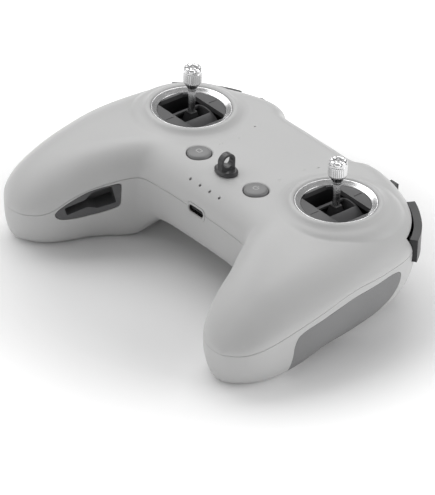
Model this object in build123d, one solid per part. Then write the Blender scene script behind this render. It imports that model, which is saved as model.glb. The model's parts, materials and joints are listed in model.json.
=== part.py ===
from build123d import *
import math
import os

# ---------------------------------------------------------------------------
# Compact two-handed radio transmitter: a light shell in two halves with two
# metal-tipped sticks, face keys, a lanyard eye, rear keys, grip pads and stick
# storage slots.  Millimetres, +Z up, +X to the user's right, +Y away from the
# user.  Worked in a frame whose origin is midway between the two sticks on the
# face, then moved so that z = 0 is the surface it stands on.
# ---------------------------------------------------------------------------

# ---- driving dimensions ----------------------------------------------------
WALL = 2.2              # shell wall
PAD_T = 1.3             # grip pad thickness
GAP = 0.15              # line gap between fitted parts
STICK_X = 45.0          # stick spacing from the centre plane
PIVOT_Z = -13.0         # height of the stick pivots
STICK_TOP = 20.3        # top of the stick caps
STICK_DEG = 22.0        # stick swing each way
RIM_BORE = 16.65        # bore in the shell rim round each stick well
RIM_CREST = 18.0        # radius of the rim's crest
RING_IN = 14.05         # inner radius of the bright ring
RING_OUT = 16.5
HOUSE_R = 15.8          # gimbal housing outside radius
HOUSE_IN = 14.5
HOUSE_DEPTH = 20.5
OPEN_X, OPEN_Y = 12.7, 8.2   # half sizes of the opening over the gimbal
DRUM_R, DRUM_IN, DRUM_HALF = 11.6, 10.6, 7.8
BARREL_R, BARREL_HALF = 6.8, 7.0
PIN_R = 1.2
ROD_R = 1.5
CAP_R = 3.9
CAP_H = 7.5
KEY_X, KEY_Y = 17.7, -18.3   # face keys
KEY_R, KEY_BORE = 4.9, 5.25
KEY_TRAVEL = 0.6
EYE_Y = -18.9
EYE_BORE = 2.5
EYE_T = 2.6
LED_X = (-9.0, -3.0, 3.0, 9.0)
LED_Y = -29.7
LED_R = 0.5
USB_Z = -13.3
USB_W, USB_H = 8.9, 3.2
BOARD_T = 1.2
N_SEC = 16              # points taken along each half section

# ---- the shell, given as upright sections fanned from the centre plane to
# ---- the tip of the right handle -------------------------------------------
# near point on the parting line, far point on the parting line, crown height,
# top edge radii near / far, top exponent, underside height near / far,
# bottom edge radii near / far, bottom exponent
ST = [
 # P                     Q                       crown  rPt  rQt  nt   zbP    zbQ    rPb rQb nb
 ((0.0,-34.0,-13.0),   (0.0,33.0,-13.0),     -0.30, 16.0, 9.5, 2.05, -31.0, -31.0,  6.0, 8.0, 2.6),
 ((10.0,-34.1,-13.0),  (10.0,33.0,-13.0),    -0.30, 16.0, 9.5, 2.05, -31.0, -31.0,  6.0, 8.0, 2.6),
 ((19.0,-34.4,-13.0),  (19.5,33.0,-13.0),    -0.30, 16.0, 9.5, 2.05, -31.0, -31.0,  6.0, 8.0, 2.6),
 ((24.0,-34.7,-13.0),  (23.5,33.8,-13.0),    -0.30, 16.0, 9.5, 2.05, -31.3, -31.2,  6.0, 8.0, 2.6),
 ((27.5,-34.9,-13.0),  (27.8,36.2,-13.0),    -0.30, 15.8, 9.5, 2.08, -32.4, -32.0,  6.5, 8.5, 2.6),
 ((30.5,-35.4,-13.0),  (34.0,37.0,-13.0),    -0.30, 15.5, 11.0, 2.1, -35.0, -34.5,  7.0, 10.0, 2.7),
 ((33.0,-36.6,-13.05), (44.0,35.8,-13.0),    -0.35, 15.0, 14.5, 2.1, -39.0, -38.0,  7.5, 14.0, 2.7),
 ((35.0,-38.9,-13.4),  (56.0,31.3,-13.0),    -0.40, 14.5, 18.0, 2.1, -42.2, -41.7, 7.0, 18.0, 2.6),
 ((36.9,-42.2,-14.0),  (67.5,23.6,-13.0),    -0.60, 14.0, 21.5, 2.05, -43.3, -43.3,  7.0, 23.0, 2.4),
 ((38.9,-46.0,-15.0),  (76.2,12.5,-13.0),    -1.10, 14.0, 24.0, 2.05, -43.4, -43.4, 7.0, 30.0, 2.2),
 ((41.2,-50.0,-16.3),  (80.6,-4.5,-13.0),    -2.10, 14.5, 24.5, 2.05, -43.4, -43.4, 7.0, 33.0, 2.2),
 ((43.3,-54.2,-17.8),  (82.3,-22.0,-13.3),   -3.70, 15.5, 23.5, 2.05, -43.4, -43.4, 7.0, 27.0, 2.3),
 ((45.0,-59.0,-19.6),  (82.5,-36.5,-17.0),   -5.80, 16.8, 20.7, 2.05, -43.4, -43.4, 7.0, 17.0, 2.5),
 ((46.6,-63.3,-21.9),  (81.9,-48.5,-20.3),   -8.40, 17.5, 19.0, 2.05, -43.4, -43.4, 7.5, 11.5, 2.7),
 ((48.4,-67.2,-24.8),  (81.0,-58.0,-23.0),  -11.80, 16.3, 17.0, 2.05, -43.4, -43.4, 8.5, 10.0, 2.8),
 ((50.8,-71.0,-26.6),  (79.4,-65.6,-25.2),  -15.60, 14.5, 14.5, 2.05, -43.4, -43.4, 10.0, 11.0, 2.6),
 ((54.0,-74.1,-27.5),  (76.3,-71.4,-26.8),  -19.80, 11.2, 11.2, 2.05, -42.9, -42.9, 11.0, 11.0, 2.4),
 ((58.2,-76.4,-28.0),  (72.0,-75.0,-27.7),  -23.80,  6.9, 6.9, 2.0, -40.6, -40.6,  6.9, 6.9, 2.1),
 ((61.2,-77.12,-28.2),  (68.9,-76.7,-28.05),  -26.10,  3.8,  3.8, 2.0, -34.8, -34.8,  3.8,  3.8, 2.05),
 ((63.25,-77.33,-28.25),(66.75,-77.2,-28.2), -27.25,  1.7,  1.7, 2.0, -31.4, -31.4,  1.7,  1.7, 2.0),
]


def refine(rows, parts):
    """stations added between the given ones, on smooth curves through all their numbers"""
    flat = [[*r[0], *r[1], *r[2:]] for r in rows]
    mirror = [-flat[1][0], *flat[1][1:3], -flat[1][3], *flat[1][4:]]
    run = [mirror] + flat
    t = [0.0]
    for p, q in zip(run, run[1:]):
        t.append(t[-1] + (math.dist(p[0:3], q[0:3]) + math.dist(p[3:6], q[3:6])) ** 0.5)
    n = len(run)
    def slope(i, c):
        if i == 0 or i == n - 1:
            j = 0 if i == 0 else n - 2
            return (run[j + 1][c] - run[j][c]) / (t[j + 1] - t[j])
        h0, h1 = t[i] - t[i - 1], t[i + 1] - t[i]
        d0, d1 = (run[i][c] - run[i - 1][c]) / h0, (run[i + 1][c] - run[i][c]) / h1
        return (d0 * h1 + d1 * h0) / (h0 + h1)
    out = []
    for i in range(1, n - 1):
        h = t[i + 1] - t[i]
        for k in range(parts):
            u = k / parts
            a0, a1 = (1 + 2 * u) * (1 - u) ** 2, u * (1 - u) ** 2
            b0, b1 = u * u * (3 - 2 * u), u * u * (u - 1)
            v = [a0 * run[i][c] + a1 * h * slope(i, c) + b0 * run[i + 1][c] + b1 * h * slope(i + 1, c)
                 for c in range(len(run[0]))]
            out.append((tuple(v[0:3]), tuple(v[3:6]), *v[6:]))
    last = run[-1]
    out.append((tuple(last[0:3]), tuple(last[3:6]), *last[6:]))
    return out


STATIONS = refine(ST, 1)


def _edge(a, r, n):
    if a >= r: return 1.0
    u = max(0.0, 1.0 - a / r)
    return max(0.0, (1.0 - u ** n)) ** (1.0 / n)

def _params(w, rP, rQ, n):
    """fine spacing of points across the section, by angle round the two edges"""
    k, m = 40, 20
    ts = [rP * (1 - math.cos(i / k * math.pi / 2) ** (2.0 / n)) for i in range(k + 1)]
    ts += [rP + (w - rQ - rP) * i / (m + 1) for i in range(1, m + 1)]
    ts += [w - rQ * (1 - math.cos(i / k * math.pi / 2) ** (2.0 / n)) for i in range(k, -1, -1)]
    return ts


def even(pts, n):
    """n points evenly spaced along a fine run of points, so all sections match point for point"""
    run = [0.0]
    for p, q in zip(pts, pts[1:]):
        run.append(run[-1] + math.dist(p, q))
    out, j = [], 0
    for i in range(n):
        t = run[-1] * i / (n - 1)
        while j < len(run) - 2 and run[j + 1] < t:
            j += 1
        u = (t - run[j]) / max(run[j + 1] - run[j], 1e-9)
        out.append(tuple(pts[j][c] + (pts[j + 1][c] - pts[j][c]) * u for c in (0, 1, 2)))
    out[0], out[-1] = pts[0], pts[-1]
    return out


def arcs(st, off=0.0):
    """returns (top points P->Q, bottom points P->Q) for a station, inset by off"""
    P, Q, zc, rPt, rQt, nt, zbP, zbQ, rPb, rQb, nb = st
    w0 = math.hypot(Q[0] - P[0], Q[1] - P[1])
    ux, uy = (Q[0] - P[0]) / w0, (Q[1] - P[1]) / w0
    w = w0 - 2 * off
    rPt, rQt, rPb, rQb = [min(max(r - off, 1.2), 0.47 * w) for r in (rPt, rQt, rPb, rQb)]
    def pt(a, z): return (P[0] + ux * (a + off), P[1] + uy * (a + off), z)
    def zs(a): return P[2] + (Q[2] - P[2]) * ((a + off) / w0)
    top, bot = [], []
    for a in _params(w, rPt, rQt, nt):
        s = _edge(a, rPt, nt) * _edge(w - a, rQt, nt)
        top.append(pt(a, zs(a) + (zc - off - zs(a)) * s))
    for a in _params(w, rPb, rQb, nb):
        s = _edge(a, rPb, nb) * _edge(w - a, rQb, nb)
        zb = zbP + (zbQ - zbP) * (a / w)
        bot.append(pt(a, zs(a) + (zb + off - zs(a)) * s))
    return top, bot


def ring_points(st, off, top, ext, side):
    """one closed section: an arch over (or under) the parting line, carried straight on by ext"""
    t, b = arcs(st, off)
    pts = even([(side * x, y, z) for x, y, z in (t if top else b)], N_SEC)
    if ext:
        s = -ext if top else ext
        (ax, ay, az), (bx, by, bz) = pts[0], pts[-1]
        pts = pts + [(bx, by, bz + s), (ax, ay, az + s)]
    return pts


def half_body(off, top, ext=0.0, drop=0):
    """closed body on one side of the parting surface, inset by off all round, of small flat facets"""
    sts = STATIONS[: len(STATIONS) - drop]
    rings = [ring_points(st, off, top, ext, -1) for st in sts[:0:-1]]
    rings += [ring_points(st, off, top, ext, 1) for st in sts]
    half = len(sts) - 1
    faces = [Face(Wire.make_polygon([Vector(*p) for p in rings[k]], close=True)) for k in (0, -1)]
    n = len(rings[0])
    for i in range(len(rings) - 1):
        for j in range(n):
            q = [rings[i][j], rings[i][(j + 1) % n], rings[i + 1][(j + 1) % n], rings[i + 1][j]]
            e1, e2, e3 = [[q[k][c] - q[0][c] for c in (0, 1, 2)] for k in (1, 2, 3)]
            vol = (e1[0] * (e2[1] * e3[2] - e2[2] * e3[1]) - e1[1] * (e2[0] * e3[2] - e2[2] * e3[0])
                   + e1[2] * (e2[0] * e3[1] - e2[1] * e3[0]))
            if abs(vol) < 1e-7:
                tris = [q]
            elif i < half:      # the split runs the same way on both sides of the centre plane
                tris = [[q[0], q[1], q[3]], [q[1], q[2], q[3]]]
            else:
                tris = [[q[0], q[1], q[2]], [q[0], q[2], q[3]]]
            faces += [Face(Wire.make_polygon([Vector(*p) for p in t], close=True)) for t in tris]
    body = Solid(Shell(faces))
    return body if body.volume > 0 else Solid(-body)


def solid_of(s):
    """largest single solid of a result"""
    ss = sorted(s.solids(), key=lambda q: q.volume)
    return ss[-1]


def common(a, b):
    """largest solid shared by two solids"""
    return sorted(a.intersect(b).solids(), key=lambda q: q.volume)[-1]


def fuse_all(a, *bs):
    for b in bs:
        a = a.fuse(b)
    return solid_of(a)


def at(x, y, z):
    return Location((x, y, z))


def cyl(r, h, x, y, z):
    """upright cylinder standing on z"""
    return Solid.make_cylinder(r, h, Plane((x, y, z)))


def rod_between(r, a, b):
    v = Vector(*b) - Vector(*a)
    return Solid.make_cylinder(r, v.length, Plane(a, z_dir=v.normalized()))


def block(x0, x1, y0, y1, z0, z1):
    return Solid.make_box(x1 - x0, y1 - y0, z1 - z0, Plane((x0, y0, z0)))


def prism(pts, direction):
    """closed polygon pushed along a vector"""
    w = Wire.make_polygon([Vector(*p) for p in pts], close=True)
    return Solid.extrude(Face(w), Vector(*direction))


def turned(profile, cx, cy):
    """profile of (radius, z) points turned about the upright axis at cx, cy"""
    w = Wire.make_polygon([Vector(r, 0, z) for r, z in profile], close=True)
    return Solid.revolve(Face(w), 360, Axis((0, 0, 0), (0, 0, 1))).moved(at(cx, cy, 0))


def chamfer_ends(s):
    """small bevel on the two end rims of a cylinder lying along X"""
    return solid_of(s.chamfer(0.4, None, s.edges().filter_by(GeomType.CIRCLE)))


def mirror_x(s):
    return s.mirror(Plane.YZ)


def round_poly(pts, r):
    """polygon in 2-D with its corners rounded, as a list of points"""
    out = []
    n = len(pts)
    for i in range(n):
        p0, p1, p2 = pts[i - 1], pts[i], pts[(i + 1) % n]
        a = (p0[0] - p1[0], p0[1] - p1[1]); b = (p2[0] - p1[0], p2[1] - p1[1])
        la, lb = math.hypot(*a), math.hypot(*b)
        d = min(r, la * 0.45, lb * 0.45)
        s = (p1[0] + a[0] / la * d, p1[1] + a[1] / la * d)
        e = (p1[0] + b[0] / lb * d, p1[1] + b[1] / lb * d)
        for k in range(4):
            u = k / 3
            q = [(1 - u) ** 2 * s[j] + 2 * u * (1 - u) * p1[j] + u * u * e[j] for j in (0, 1)]
            out.append((q[0], q[1]))
    return out


def grow_poly(pts, g):
    """offset a 2-D polygon outwards by g (small g, mild corners)"""
    n = len(pts)
    area = sum(pts[i][0] * pts[(i + 1) % n][1] - pts[(i + 1) % n][0] * pts[i][1] for i in range(n))
    sg = 1 if area > 0 else -1
    out = []
    for i in range(n):
        p0, p1, p2 = pts[i - 1], pts[i], pts[(i + 1) % n]
        n1 = (p1[1] - p0[1], -(p1[0] - p0[0])); n2 = (p2[1] - p1[1], -(p2[0] - p1[0]))
        l1, l2 = math.hypot(*n1), math.hypot(*n2)
        n1 = (n1[0] / l1 * sg, n1[1] / l1 * sg); n2 = (n2[0] / l2 * sg, n2[1] / l2 * sg)
        m = (n1[0] + n2[0], n1[1] + n2[1]); k = 2.0 / max(0.5, m[0] ** 2 + m[1] ** 2)
        out.append((p1[0] + m[0] * g * k, p1[1] + m[1] * g * k))
    return out


parts = {}

# ---- sticks and gimbals ----------------------------------------------------------
def gimbal(gx, tag):
    pz = PIVOT_Z
    ring = turned([(RING_IN, -0.9), (RING_IN, 0.12), (14.35, 0.3), (16.1, 1.42), (16.35, 1.48),
                   (RING_OUT, 1.38), (RING_OUT, -0.9)], gx, 0)
    parts["stick_ring_" + tag] = ring
    disc = cyl(HOUSE_R, 1.1, gx, 0, -2.1).fuse(cyl(RING_IN - 0.08, 1.0, gx, 0, -1.0))
    disc = disc.cut(common(block(gx - OPEN_X, gx + OPEN_X, -OPEN_Y, OPEN_Y, -3, 1), cyl(14.25, 5, gx, 0, -3.5)))
    for sy in (-1, 1):     # short witness lines on the two visible segments
        disc = disc.cut(block(gx - 0.18, gx + 0.18, min(sy * 9.2, sy * 13.3), max(sy * 9.2, sy * 13.3), -0.22, 0.2))
    parts["gimbal_bezel_" + tag] = solid_of(disc)
    z0 = -2.1 - HOUSE_DEPTH
    cup = cyl(HOUSE_R, HOUSE_DEPTH - 0.02, gx, 0, z0).cut(cyl(HOUSE_IN, HOUSE_DEPTH, gx, 0, z0 + 1.5))
    cup = cup.fuse(cyl(18.2, 1.2, gx, 0, -6.25).cut(cyl(HOUSE_IN, 3, gx, 0, -7)))
    for sy in (-1, 1):     # bearing posts for the outer yoke
        post = block(gx - 3.2, gx + 3.2, min(sy * 8.6, sy * 14.9), max(sy * 8.6, sy * 14.9), z0 + 1.0, pz + 3.0)
        cup = cup.fuse(post)
    cup = cup.cut(rod_between(PIN_R + 0.05, (gx, -13.2, pz), (gx, 13.2, pz)))
    parts["gimbal_housing_" + tag] = solid_of(cup)
    # outer yoke: a drum lying along Y, open below, with a window for the stick
    tube = rod_between(DRUM_R, (gx, -DRUM_HALF, pz), (gx, DRUM_HALF, pz))
    tube = tube.cut(rod_between(DRUM_IN, (gx, -DRUM_HALF + 0.55, pz), (gx, DRUM_HALF - 0.55, pz)))
    tube = tube.cut(block(gx - 20, gx + 20, -10, 10, pz - 20, pz - 2.6))
    tube = tube.cut(block(gx - 3.5, gx + 3.5, -7.1, 7.1, pz + 4, pz + 20))
    for sy in (-1, 1):
        tube = tube.fuse(rod_between(PIN_R, (gx, sy * 7.5, pz), (gx, sy * 12.8, pz)))
        tube = tube.fuse(rod_between(2.2, (gx, sy * 7.6, pz), (gx, sy * 8.35, pz)))
    tube = tube.cut(rod_between(PIN_R + 0.05, (gx - 13, 0, pz), (gx + 13, 0, pz)))
    parts["gimbal_drum_" + tag] = solid_of(tube)
    # inner rocker: barrel lying along X with the saddle that carries the stick
    # (its ends taper so that they clear the housing floor when the yoke is tilted)
    bar = turned([(0, -BARREL_HALF), (BARREL_R - 1.25, -BARREL_HALF), (BARREL_R, -3.9), (BARREL_R, 3.9),
                  (BARREL_R - 1.25, BARREL_HALF), (0, BARREL_HALF)], 0, 0)
    bar = bar.moved(Location((gx, 0, pz), (0, 90, 0)))
    bar = bar.fuse(rod_between(PIN_R, (gx - 11.4, 0, pz), (gx + 11.4, 0, pz)))
    def sq(h, z):
        return Wire.make_polygon([Vector(gx - h[0], -h[1], z), Vector(gx + h[0], -h[1], z),
                                  Vector(gx + h[0], h[1], z), Vector(gx - h[0], h[1], z)], close=True)
    boot = Solid.make_loft([sq((3.0, 4.6), pz + 4.5), sq((2.3, 2.6), pz + 9.2), sq((1.75, 1.75), -1.2)], True)
    boot = boot.fuse(block(gx - 1.75, gx + 1.75, -1.75, 1.75, -1.3, -0.55))
    top = Solid.make_loft([sq((1.75, 1.75), -0.56), sq((1.45, 1.45), -0.1)], True)
    boot = boot.fuse(top)
    bar = bar.fuse(boot)
    bar = bar.cut(cyl(1.0, 12, gx, 0, -9.0)).cut(cyl(ROD_R + 0.03, 3.0, gx, 0, -1.6))
    parts["gimbal_rocker_" + tag] = solid_of(bar)
    # stick: threaded rod with its knurled cap
    zc = STICK_TOP - CAP_H
    rod = turned([(0, -8.6), (0.97, -8.6), (0.97, -1.55), (ROD_R, -1.55), (ROD_R, zc + 3.0), (0, zc + 3.0)], gx, 0)
    parts["stick_rod_" + tag] = rod
    body = [(ROD_R, zc - 3.1), (1.75, zc - 3.2), (1.95, zc - 2.9), (2.0, zc - 1.9), (3.45, zc + 0.2), (3.75, zc + 0.6),
            (3.75, zc + 0.9), (CAP_R, zc + 1.1), (CAP_R, zc + 5.2), (3.7, zc + 5.5), (3.7, zc + CAP_H - 0.5),
            (3.35, zc + CAP_H), (1.7, zc + CAP_H), (1.5, zc + CAP_H - 1.3), (0, zc + CAP_H - 1.3),
            (0, zc + 3.0), (ROD_R, zc + 3.0)]
    cap = turned(body, gx, 0)
    for k in range(8):     # crown teeth
        a = math.radians(45 * k + 22.5)
        s = Solid.make_box(3.2, 0.75, 1.4, Plane((0, -0.375, 0))).moved(at(1.9, 0, zc + CAP_H - 0.75))
        cap = cap.cut(s.moved(Location((gx, 0, 0), (0, 0, math.degrees(a)))))
    for k in range(28):    # knurl grooves
        a = 360 / 28 * k
        s = Solid.make_box(0.3, 0.34, 3.6, Plane((CAP_R - 0.16, -0.17, zc + 1.35)))
        cap = cap.cut(s.moved(Location((gx, 0, 0), (0, 0, a))))
    parts["stick_cap_" + tag] = solid_of(cap)


gimbal(-STICK_X, "left")
gimbal(STICK_X, "right")


# ---- boards, battery and other inner pieces ------------------------------------------
board = block(-18.0, 18.0, -30.2, 28.0, -16.35, -15.15)
board = fuse_all(board, block(-12, -4, -6, 6, -15.2, -13.6), block(4, 13, 8, 20, -15.2, -13.2), block(-9, 9, -21, -12, -15.2, -14.0))
parts["main_board"] = board
parts["battery"] = block(-17.5, 17.5, -22.0, 22.0, -28.2, -18.4)
kb = block(-22.5, 22.5, -30.0, -12.5, -9.4, -8.45)
for side in (-1, 1):
    kb = kb.cut(cyl(3.6, 4, side * 26.5, -26.0, -11))
for side in (-1, 1):
    kb = kb.fuse(block(side * KEY_X - 2.6, side * KEY_X + 2.6, KEY_Y - 2.6, KEY_Y + 2.6, -8.6, -7.0))
    kb = kb.fuse(cyl(1.3, 0.8, side * KEY_X, KEY_Y, -7.1))
parts["key_board"] = solid_of(kb)
for side, tag in ((-1, "left"), (1, "right")):
    parts["antenna_" + tag] = block(min(side * 62, side * 75), max(side * 62, side * 75), -31.0, -20.0, -12.9, -11.9)
    sw = Solid.make_box(6.0, 3.0, 6.4, Plane((-3.0, -1.5, -3.2))).fuse(rod_between(1.2, (0, 1.4, 0), (0, 2.4, 0)))
    ang = -38.4 if side > 0 else 38.4
    parts["key_switch_" + tag] = solid_of(sw).moved(Location((side * 62.3, 21.5, -12.3), (0, 0, ang)))

# ---- rear mode switch (right) and rear dial (left) ------------------------------------
MS_X, MS_Z = 37.5, -9.4
nub = block(MS_X - 2.1, MS_X + 2.1, 29.6, 38.2, MS_Z - 1.75, MS_Z + 1.75)
nub = fuse_all(nub, block(MS_X - 4.4, MS_X + 4.4, 28.9, 29.7, MS_Z - 2.1, MS_Z + 2.1))
for k in (-1, 0, 1):
    nub = nub.cut(block(MS_X + k * 1.2 - 0.2, MS_X + k * 1.2 + 0.2, 37.85, 39.2, MS_Z - 2, MS_Z + 2))
parts["mode_switch"] = solid_of(nub)
parts["mode_switch_base"] = block(MS_X - 7.5, MS_X + 7.5, 25.4, 28.6, MS_Z - 3.0, MS_Z + 3.0)
DX, DY, DZ = -38.5, 31.8, -9.2
DR = 5.2
dial = rod_between(DR, (DX - 3.3, DY, DZ), (DX + 3.3, DY, DZ))
dial = chamfer_ends(dial)
for k in range(36):
    g = Solid.make_box(7.6, 0.34, 0.5, Plane((-3.8, -0.17, DR - 0.25))).moved(Location((0, 0, 0), (10 * k, 0, 0)))
    dial = dial.cut(g.moved(at(DX, DY, DZ)))
dial = solid_of(dial).fuse(rod_between(1.0, (DX - 5.4, DY, DZ), (DX + 5.4, DY, DZ)))
parts["rear_dial"] = solid_of(dial)
cradle = block(DX - 5.6, DX + 5.6, 24.3, 25.6, DZ - 3.5, DZ + 3.5)
for sx in (-1, 1):
    ear = block(DX + min(sx * 3.9, sx * 5.6), DX + max(sx * 3.9, sx * 5.6), 25.0, 31.1, DZ - 2.0, DZ + 2.0)
    cradle = cradle.fuse(ear)
cradle = cradle.cut(rod_between(1.05, (DX - 8, DY, DZ), (DX + 8, DY, DZ)))
cradle = cradle.cut(rod_between(DR + 0.35, (DX - 3.6, DY, DZ), (DX + 3.6, DY, DZ)))
parts["dial_cradle"] = solid_of(cradle)
# ---- shell blanks ------------------------------------------------------------
top_out = half_body(0.0, True)
bot_out = half_body(0.0, False)
top_in = half_body(WALL, True, 2.5, 3)
bot_in = half_body(WALL + 0.2, False, 2.5, 3)
pad_core = half_body(PAD_T, False, 2.5, 3)

# what is added to and cut from each shell, gathered first and done together
top_add, top_cut, low_add, low_cut = [], [], [], []

# rims round the stick wells: crest, then a hollow flare that dies into the face
flare = [(RIM_BORE, 1.45), (17.0, 1.75), (17.5, 1.92), (RIM_CREST, 1.97), (18.6, 1.86),
         (19.2, 1.5), (19.9, 0.98), (20.8, 0.45), (22.0, 0.0), (23.4, -0.5), (24.8, -1.35),
         (26.0, -2.5), (27.0, -3.9), (27.6, -5.0), (RIM_BORE, -5.0)]
rims = [turned(flare, side * STICK_X, 0) for side in (-1, 1)]
for side in (-1, 1):
    gx = side * STICK_X
    # the gimbal housing seats against a shallow skirt under the rim
    top_add.append(cyl(RIM_BORE + 1.6, 4.2, gx, 0, -5.0))
    top_cut.append(cyl(RIM_BORE, 12, gx, 0, -6.0))

# ---- face keys, eye, lamp holes ----------------------------------------------
for side in (-1, 1):
    kx = side * KEY_X
    top_cut.append(cyl(KEY_BORE, 12, kx, KEY_Y, -8))
    top_add.append(cyl(KEY_BORE + 1.0, 1.6, kx, KEY_Y, -4.0))
    key = turned([(0, 0.62), (1.5, 0.60), (2.8, 0.52), (3.9, 0.36), (4.45, 0.16), (4.75, -0.12),
                  (KEY_R, -0.5), (KEY_R, -4.15), (5.7, -4.3), (5.7, -4.9), (1.6, -4.9), (1.6, -5.6), (0, -5.6)],
                 kx, KEY_Y)
    # the flange that keeps the key in runs below the guide ring
    parts["face_key_" + ("left" if side < 0 else "right")] = key

for lx in LED_X:
    top_cut.append(cyl(LED_R + 0.03, 9, lx, LED_Y, -10))
lamps = [cyl(LED_R, 3.6, lx, LED_Y, -8.0) for lx in LED_X]

# lanyard eye: oval foot, upright plate with the eye bored along X, stem and
# inner washer plate
top_cut.append(cyl(2.05, 8, 0, EYE_Y, -6))
def oval(a, b, z):
    return Wire([Edge.make_ellipse(a, b, Plane((0, EYE_Y, z)))])

foot = Solid.make_loft([oval(5.5, 4.2, -0.28), oval(5.5, 4.2, 0.62)], True)
foot = foot.fuse(Solid.make_loft([oval(5.5, 4.2, 0.62), oval(4.8, 3.5, 1.22)], True))
pw, ph = 3.5, 8.2
plate_pts = [(-pw, 0.4), (pw, 0.4)]
for k in range(0, 13):
    th = math.pi * k / 12
    plate_pts.append((pw * math.cos(th), 8.2 - pw + pw * math.sin(th)))
plate = prism([(-EYE_T / 2, EYE_Y + y, z) for y, z in plate_pts], (EYE_T, 0, 0))
eye_z = 8.2 - pw - 0.1
plate = plate.cut(rod_between(EYE_BORE, (-6, EYE_Y, eye_z), (6, EYE_Y, eye_z)))
eye = foot.fuse(plate).fuse(cyl(2.0, 5.0, 0, EYE_Y, -4.6)).fuse(cyl(4.0, 0.9, 0, EYE_Y, -3.6 - 0.9))
parts["lanyard_eye"] = solid_of(eye)

# ---- charging inlet ------------------------------------------------------------
def rrect_prism(w, h, r, y0, y1, zc, x=0.0):
    sk = Plane((x, y0, zc), x_dir=(1, 0, 0), z_dir=(0, 1, 0)) * RectangleRounded(w, h, r)
    return extrude(sk, y1 - y0).solid()

bez_cut = rrect_prism(11.4, 5.6, 2.4, -37.0, -32.6, USB_Z - 0.1)
mouth = rrect_prism(USB_W + 0.5, USB_H + 0.5, 1.8, -37.0, -30.0, USB_Z)
top_cut += [bez_cut, mouth]
low_cut += [bez_cut, mouth]
bez = rrect_prism(11.2, 5.4, 2.3, -34.15, -32.7, USB_Z - 0.1)
bez = bez.cut(rrect_prism(USB_W + 0.45, USB_H + 0.45, 1.75, -37, -30, USB_Z))
parts["usb_bezel"] = bez
sock = rrect_prism(USB_W + 0.3, USB_H + 0.3, 1.7, -33.9, -26.6, USB_Z)
sock = sock.cut(rrect_prism(USB_W - 0.3, USB_H - 0.3, 1.4, -36, -27.6, USB_Z))
parts["usb_socket"] = sock
parts["usb_tongue"] = block(-3.3, 3.3, -33.2, -27.7, USB_Z - 0.35, USB_Z + 0.35)

# ---- grip pads in the outer walls of the handles -----------------------------------
pad_yz = [(1.8, -15.63), (-12.0, -15.95), (-22.0, -16.6), (-28.5, -18.0), (-36.5, -20.0), (-45.8, -22.4), (-49.0, -24.1),
          (-50.6, -27.4), (-51.2, -39.4), (-50.6, -41.0), (-49.0, -41.6), (-22.0, -41.6), (-11.0, -38.4), (-2.0, -34.0),
          (4.0, -27.5), (6.0, -20.6), (5.3, -17.2)]
pad_cutter = prism([(66, y, z) for y, z in grow_poly(pad_yz, GAP)], (26, 0, 0))
pad_former = prism([(66, y, z) for y, z in pad_yz], (26, 0, 0))
pad = solid_of(common(pad_former, bot_out).cut(pad_core))
pad_hole = solid_of(pad_cutter.cut(pad_core))
parts["grip_pad_right"] = pad
parts["grip_pad_left"] = mirror_x(pad)
low_cut += [pad_hole, mirror_x(pad_hole)]

# ---- stick storage inserts in the inner walls of the handles -----------------------
ins_yz = [(-43.2, -15.65), (-47.2, -16.4), (-52.8, -18.0), (-59.1, -20.6), (-63.8, -23.4), (-66.2, -25.4), (-67.0, -27.2),
          (-65.4, -29.1), (-61.3, -29.9), (-55.2, -29.9), (-49.5, -28.9), (-44.3, -27.0), (-42.9, -26.2), (-42.4, -25.0),
          (-42.4, -16.5), (-42.6, -15.95)]
ins_cutter = prism([(33, y, z) for y, z in grow_poly(ins_yz, GAP)], (20.5, 0, 0))
ins_former = prism([(33, y, z) for y, z in ins_yz], (20.5, 0, 0))
plate = solid_of(common(ins_former, bot_out).cut(bot_in))
# pocket frame: along the stored stick, across it, and into the handle
A = Vector(46.4, -62.6, -25.9); B = Vector(38.6, -44.8, -20.4)
e1 = (B - A).normalized()
e3 = Vector(-e1.Y, e1.X, 0).normalized()
if e3.X > 0:
    e3 = e3 * -1
e2 = e3.cross(e1).normalized()
e3 = e1.cross(e2).normalized()
if e3.X > 0:
    e3 = e3 * -1
def pk(u, v, w):
    p = A + e1 * u + e2 * v + e3 * w
    return (p.X, p.Y, p.Z)
shape2 = [(-0.6, -1.85), (-0.6, 1.85), (8.6, 1.85), (12.2, 4.1), (20.2, 4.1), (20.2, -4.1), (12.2, -4.1), (8.6, -1.85)]
inner2 = round_poly(shape2, 0.8)
outer2 = grow_poly(shape2, 1.2)
cavity = prism([pk(u, v, 4.0) for u, v in inner2], tuple(e3 * -12.4))
tub = prism([pk(u, v, -1.3) for u, v in outer2], tuple(e3 * -8.3))
insert = plate.fuse(tub).cut(cavity)
insert = solid_of(insert)
parts["storage_insert_right"] = insert
parts["storage_insert_left"] = mirror_x(insert)
tub_clear = prism([pk(u, v, 0.5) for u, v in grow_poly(shape2, 1.5)], tuple(e3 * -10.5))
low_cut += [ins_cutter, mirror_x(ins_cutter), tub_clear, mirror_x(tub_clear)]

# ---- long shoulder keys round the rear outer corners --------------------------------
cnr = [(53.0, 32.7), (58.0, 30.2), (63.0, 27.0), (67.6, 23.5), (71.8, 19.2), (75.2, 14.6)]
def off_line(pts, d):
    out = []
    for i, p in enumerate(pts):
        a = pts[max(i - 1, 0)]; b = pts[min(i + 1, len(pts) - 1)]
        t = (b[0] - a[0], b[1] - a[1]); l = math.hypot(*t)
        out.append((p[0] - t[1] / l * d, p[1] + t[0] / l * d))
    return out
def band(outer, inner, z, h):
    """upright band between two curved lines in plan"""
    o = [(x, y, z) for x, y in outer]; i = [(x, y, z) for x, y in inner]
    w = Wire([Spline(*o), Line(o[-1], i[-1]), Spline(*i[::-1]), Line(i[0], o[0])])
    return Solid.extrude(Face(w), Vector(0, 0, h))


skey = band(off_line(cnr, 1.7), off_line(cnr, -1.6), -17.2, 10.0)
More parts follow.
